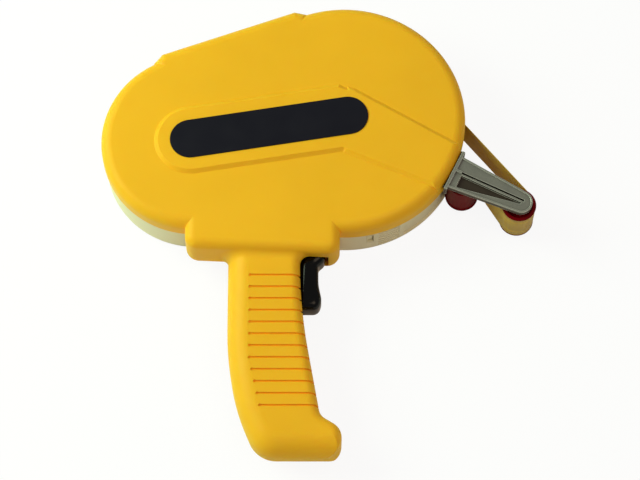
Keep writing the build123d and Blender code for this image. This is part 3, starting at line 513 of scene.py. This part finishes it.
def add_coil(mesh, start, length, reach, wire, turns, steps=20, sides=8):
    """Add a coil spring of round wire that runs along X from its start, its ends closed."""
    around = [2 * math.pi * side / sides for side in range(sides)]
    rings = []
    for step in range(turns * steps + 1):
        turn = 2 * math.pi * step / steps
        outward = Vector((0, math.cos(turn), math.sin(turn)))
        centre = start + Vector((length * step / (turns * steps), 0, 0)) + outward * reach
        rim = [outward * math.cos(angle) + Vector((math.sin(angle), 0, 0)) for angle in around]
        rings.append([mesh.verts.new(centre + spoke * wire) for spoke in rim])
    skin_rings(mesh, rings)
    mesh.faces.new(rings[0][::-1])
    mesh.faces.new(rings[-1])


def skin_rings(mesh, rings):
    """Join each ring of points to the next with faces."""
    for lower, upper in zip(rings, rings[1:]):
        for index in range(len(lower)):
            after = (index + 1) % len(lower)
            mesh.faces.new((lower[index], lower[after], upper[after], upper[index]))


def finished(mesh, name):
    """Make an object of a closed mesh: faces outward, smooth but for its sharp edges."""
    bmesh.ops.remove_doubles(mesh, verts=mesh.verts, dist=MERGE_DISTANCE)
    bmesh.ops.recalc_face_normals(mesh, faces=mesh.faces)
    data = bpy.data.meshes.new(name)
    mesh.to_mesh(data)
    mesh.free()
    data.shade_smooth()
    data.set_sharp_from_angle(angle=SHARP_ANGLE)
    piece = bpy.data.objects.new(name, data)
    bpy.context.scene.collection.objects.link(piece)
    return piece


class DISPENSER_OT_stage(bpy.types.Operator):
    """Lay the pale floor, set the lights and place the camera"""

    bl_idname = "dispenser.stage"
    bl_label = "Stage"

    def execute(self, context):
        sizes = context.scene.dispenser_stage
        studio_floor(FLOOR_HALF)
        studio_sky(context.scene, sizes.sky)
        target = Vector(sizes.look_at)
        area_light("key_light", target, sizes.key_power, **KEY_LIGHT)
        area_light("fill_light", target, sizes.fill_power, **FILL_LIGHT)
        place_camera(context.scene, sizes, target)
        context.scene.view_settings.view_transform = "Standard"
        return {"FINISHED"}


def studio_floor(half):
    """A wide pale sheet just under the object."""
    mesh = bpy.data.meshes.new("studio_floor")
    corners = [(-half, -half), (half, -half), (half, half), (-half, half)]
    mesh.from_pydata([(x, y, -FLOOR_GAP) for x, y in corners], [], [(0, 1, 2, 3)])
    floor = bpy.data.objects.new("studio_floor", mesh)
    bpy.context.scene.collection.objects.link(floor)
    mesh.materials.append(floor_paper("floor_paper"))
    return floor


def floor_paper(name):
    """Matt pale paper that the camera sees nearly white, with the shadows left on it."""
    material, tree, shader = node_tree(name, roughness=0.9)
    shader.inputs["Base Color"].default_value = FLOOR_GREY
    glow = tree.nodes.new("ShaderNodeEmission")
    path = tree.nodes.new("ShaderNodeLightPath")
    share = ranged(tree, path.outputs["Is Camera Ray"], 0, 1, 0, FLOOR_WHITENESS)
    mix = tree.nodes.new("ShaderNodeMixShader")
    tree.links.new(share, mix.inputs["Fac"])
    tree.links.new(shader.outputs["BSDF"], mix.inputs[1])
    tree.links.new(glow.outputs["Emission"], mix.inputs[2])
    tree.links.new(mix.outputs["Shader"], tree.nodes["Material Output"].inputs["Surface"])
    return material


def studio_sky(scene, strength):
    """Even light from all round, and a white background to look at."""
    world = bpy.data.worlds.new("studio_sky")
    world.use_nodes = True
    tree = world.node_tree
    background = tree.nodes["Background"]
    background.inputs["Color"].default_value = (1, 1, 1, 1)
    path = tree.nodes.new("ShaderNodeLightPath")
    seen = tree.nodes.new("ShaderNodeMath")
    seen.operation = "MAXIMUM"
    tree.links.new(path.outputs["Is Camera Ray"], seen.inputs[0])
    tree.links.new(path.outputs["Is Transmission Ray"], seen.inputs[1])
    level = ranged(tree, seen.outputs["Value"], 0, 1, strength, 1.0)
    tree.links.new(level, background.inputs["Strength"])
    scene.world = world


def area_light(name, target, power, offset, side, colour):
    """A square soft light that faces the target."""
    lamp = bpy.data.lights.new(name, "AREA")
    lamp.size = side
    lamp.energy = power
    lamp.color = colour
    holder = bpy.data.objects.new(name, lamp)
    holder.location = target + offset
    holder.rotation_euler = (-offset).to_track_quat("-Z", "Y").to_euler()
    bpy.context.scene.collection.objects.link(holder)


def place_camera(scene, sizes, target):
    """The camera at the photograph's angle: in front of the grip's end, high above the face."""
    lens = bpy.data.cameras.new("photo_camera")
    lens.sensor_width = SENSOR_WIDTH
    lens.lens = sizes.focal_pixels * SENSOR_WIDTH / IMAGE_WIDTH
    lens.clip_end = CLIP_END
    away = Vector((0, -math.cos(sizes.camera_elevation), math.sin(sizes.camera_elevation)))
    camera = bpy.data.objects.new("photo_camera", lens)
    camera.location = target + away * sizes.camera_distance
    camera.rotation_euler = (-away).to_track_quat("-Z", "Y").to_euler()
    scene.collection.objects.link(camera)
    scene.camera = camera


class DISPENSER_OT_case(bpy.types.Operator):
    """Finish the yellow case and grip"""

    bl_idname = "dispenser.case"
    bl_label = "Case and grip"

    def execute(self, context):
        colours = context.scene.dispenser_colours
        # The case gets painted bounce light in its crevices.
        finish = moulded_plastic(
            "case_plastic", tuple(colours.case), roughness=0.42, grain=0.00035, depth=0.000012,
            drift=0.03, gloss=0.1, glow=0.5, painted_bounce=PAINTED_BOUNCE)
        dress(finish, "side_shell", "grip_back_half")
        return {"FINISHED"}


class DISPENSER_OT_cover(bpy.types.Operator):
    """Finish the cream cover and its latch"""

    bl_idname = "dispenser.cover"
    bl_label = "Side cover"

    def execute(self, context):
        cream = tuple(context.scene.dispenser_colours.cover)
        finish = moulded_plastic(
            "cover_plastic", cream, roughness=0.45, grain=0.00035, depth=0.00001, drift=0.03)
        dress(finish, "side_cover")
        button = moulded_plastic(
            "latch_plastic", tone(cream, 1.12), roughness=0.4, grain=0.0003, depth=0.00001, drift=0.02)
        dress(button, "cover_latch")
        return {"FINISHED"}


class DISPENSER_OT_face_plate(bpy.types.Operator):
    """Finish the bare dark plate on the face"""

    bl_idname = "dispenser.face_plate"
    bl_label = "Face plate"

    def execute(self, context):
        colours = context.scene.dispenser_colours
        finish = moulded_plastic(
            "plate_film", tuple(colours.plate), roughness=0.34, grain=0.0005, depth=0.000006,
            drift=0.08, gloss=0.14)
        dress(finish, "face_plate")
        return {"FINISHED"}


class DISPENSER_OT_nose(bpy.types.Operator):
    """Finish the nose arm and the two rollers"""

    bl_idname = "dispenser.nose"
    bl_label = "Nose arm and rollers"

    def execute(self, context):
        colours = context.scene.dispenser_colours
        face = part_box("nose_bracket")[1].z
        dress(cast_metal("nose_casting", tuple(colours.casting), face), "nose_bracket")
        finish = moulded_plastic(
            "roller_plastic", tuple(colours.roller), roughness=0.34, grain=0.0008, depth=0.000006,
            drift=0.12, gloss=0.06)
        for node, body in (("nose_roller", "nose_roll"), ("guide_roller", "guide_roll")):
            piece = dished_roller(node, context.scene.dispenser_pieces)
            piece.data.materials.append(finish)
            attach(piece, body)
            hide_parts(node)
        return {"FINISHED"}


def dished_roller(node, sizes):
    """A roller with a rim at each end of its drum and a deep recess in each end face."""
    low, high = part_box(node)
    radius = (high.x - low.x) / 2
    bore, hub = 2.06 * MM, 3.6 * MM
    bevel, rim_width, rim_rise = 0.3 * MM, 0.5 * MM, 0.6 * MM
    wall = radius - sizes.roller_rim
    half = [
        (bore, low.z + bevel),
        (hub, low.z + bevel),
        (hub, low.z + sizes.roller_dish),
        (wall - bevel, low.z + sizes.roller_dish),
        (wall, low.z + bevel),
        (wall + bevel, low.z),
        (radius - bevel, low.z),
        (radius, low.z + bevel),
        (radius, low.z + rim_width),
        (radius - rim_rise, low.z + rim_width + bevel),
    ]
    other = [(reach, low.z + high.z - height) for reach, height in reversed(half)]
    mesh = bmesh.new()
    add_turned(mesh, half + other, (low + high) / 2)
    return finished(mesh, node + "_dished")


class DISPENSER_OT_tape(bpy.types.Operator):
    """Finish the roll, its core, the running tape and the wound liner"""

    bl_idname = "dispenser.tape"
    bl_label = "Tape"

    def execute(self, context):
        tan = tuple(context.scene.dispenser_colours.tape)
        hub = middle("liner_winding")
        dress(wound_tape("roll_windings", tan, centre=(0, 0), pitch=0.0006), "tape_roll")
        dress(wound_tape("liner_windings", tone(tan, 1.15), centre=hub, pitch=0.0008), "liner_winding")
        dress(tape_film("tape_film", tan), "tape_web")
        dress(pressed_board("core_board"), "tape_core")
        return {"FINISHED"}


class DISPENSER_OT_gears(bpy.types.Operator):
    """Finish the gears, hubs, post and brake lever"""

    bl_idname = "dispenser.gears"
    bl_label = "Gears and hubs"

    def execute(self, context):
        colours = context.scene.dispenser_colours
        nylon = moulded_plastic(
            "natural_nylon", tuple(colours.nylon), roughness=0.42, grain=0.0006, depth=0.00001,
            drift=0.03)
        dress(nylon, "supply_gear", "idler_gear", "takeup_gear", "takeup_hub", "liner_post", "brake_lever")
        rubber = moulded_plastic(
            "pad_rubber", tuple(colours.rubber), roughness=0.75, grain=0.0004, depth=0.00003, drift=0.1)
        dress(rubber, "brake_pad")
        return {"FINISHED"}


class DISPENSER_OT_trigger(bpy.types.Operator):
    """Finish the glossy black trigger"""

    bl_idname = "dispenser.trigger"
    bl_label = "Trigger"

    def execute(self, context):
        colours = context.scene.dispenser_colours
        finish = moulded_plastic(
            "trigger_plastic", tuple(colours.trigger), roughness=0.13, grain=0.0012, depth=0.000004,
            drift=0.2, gloss=0.2)
        piece = rounded_trigger(context.scene.dispenser_pieces)
        piece.data.materials.append(finish)
        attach(piece, "trigger_lever")
        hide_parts("trigger")
        return {"FINISHED"}


def rounded_trigger(sizes):
    """The finger blade with its hub, and the horn that reaches the brake lever."""
    pin = middle("trigger_pin")
    centre = middle("trigger_spring").z
    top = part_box("trigger")[1]
    low, high = centre - sizes.trigger_width / 2, centre + sizes.trigger_width / 2
    mesh = bmesh.new()
    add_raised(mesh, rounded_outline(TRIGGER_BLADE, pin), low, high, sizes.trigger_rounding)
    hub, core, bevel = 3.6 * MM, 0.5 * MM, 0.4 * MM
    add_turned(mesh, [
        (core, low), (hub - bevel, low), (hub, low + bevel),
        (hub, high - bevel), (hub - bevel, high), (core, high),
    ], pin)
    horn_half, foot_end, foot_lift = 1.6 * MM, 4.8 * MM, 0.7 * MM
    finger_start, finger_root = 3.4 * MM, 2.0 * MM
    foot = rectangle(pin.x - horn_half, pin.x + horn_half, pin.y, pin.y + foot_end)
    finger = rectangle(pin.x - horn_half, pin.x + horn_half, pin.y + finger_start, top.y)
    add_raised(mesh, foot, centre + foot_lift, high, bevel)
    add_raised(mesh, finger, high - finger_root, top.z, bevel)
    return finished(mesh, "trigger_blade")


class DISPENSER_OT_hardware(bpy.types.Operator):
    """Finish the steel pins, spindles, screws and clips, and wind the trigger's spring"""

    bl_idname = "dispenser.hardware"
    bl_label = "Steel hardware"

    def execute(self, context):
        steel = turned_steel("turned_steel")
        dress(steel, "hinge_pin", "supply_spindle", "takeup_spindle", "idler_spindle", "hub_washers",
              "hub_screws", "clutch_spring", "nose_axle", "guide_axle", "nose_clip", "guide_clip",
              "trigger_pin", "brake_pin", "grip_screws", "bracket_screws")
        spring = trigger_coil(context.scene.dispenser_pieces)
        spring.data.materials.append(steel)
        seat = middle("trigger_spring")
        seat.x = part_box("trigger_spring")[0].x
        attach(spring, "housing")
        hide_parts("trigger_spring")
        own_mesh(spring)
        return {"FINISHED"}


def trigger_coil(sizes):
    """The coil between the rib in the grip and the back of the trigger."""
    low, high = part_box("trigger_spring")
    wire = sizes.spring_wire / 2
    start = middle("trigger_spring")
    start.x = low.x + wire
    length = high.x - low.x - 2 * wire
    reach = (high.y - low.y) / 2 - wire
    mesh = bmesh.new()
    add_coil(mesh, start, length, reach, wire, sizes.spring_turns)
    return finished(mesh, "trigger_coil")


class DISPENSER_PT_sidebar(bpy.types.Panel):
    """Lists the dispenser's steps and the values they use"""

    bl_label = "Tape dispenser"
    bl_space_type = "VIEW_3D"
    bl_region_type = "UI"
    bl_category = "Dispenser"

    def draw(self, context):
        column = self.layout.column()
        for step in STEPS:
            column.operator(step.bl_idname)
        for place, group in GROUPS.items():
            for value in group.__annotations__:
                column.prop(getattr(context.scene, place), value)


GROUPS = {
    "dispenser_colours": DispenserColours,
    "dispenser_pieces": DispenserPieces,
    "dispenser_stage": DispenserStage,
}
STEPS = (
    DISPENSER_OT_stage,
    DISPENSER_OT_case,
    DISPENSER_OT_cover,
    DISPENSER_OT_face_plate,
    DISPENSER_OT_nose,
    DISPENSER_OT_tape,
    DISPENSER_OT_gears,
    DISPENSER_OT_trigger,
    DISPENSER_OT_hardware,
)
CLASSES = (*GROUPS.values(), *STEPS, DISPENSER_PT_sidebar)


def register():
    """Register the classes and hang their values on the scene."""
    for each in CLASSES:
        bpy.utils.register_class(each)
    for place, group in GROUPS.items():
        setattr(bpy.types.Scene, place, PointerProperty(type=group))


def unregister():
    """Take the values off the scene and unregister the classes."""
    for place in GROUPS:
        delattr(bpy.types.Scene, place)
    for each in reversed(CLASSES):
        bpy.utils.unregister_class(each)


def main():
    """Dress the whole dispenser."""
    register()
    bpy.ops.dispenser.stage()
    bpy.ops.dispenser.case()
    bpy.ops.dispenser.cover()
    bpy.ops.dispenser.face_plate()
    bpy.ops.dispenser.nose()
    bpy.ops.dispenser.tape()
    bpy.ops.dispenser.gears()
    bpy.ops.dispenser.trigger()
    bpy.ops.dispenser.hardware()


if __name__ == "__main__":
    main()
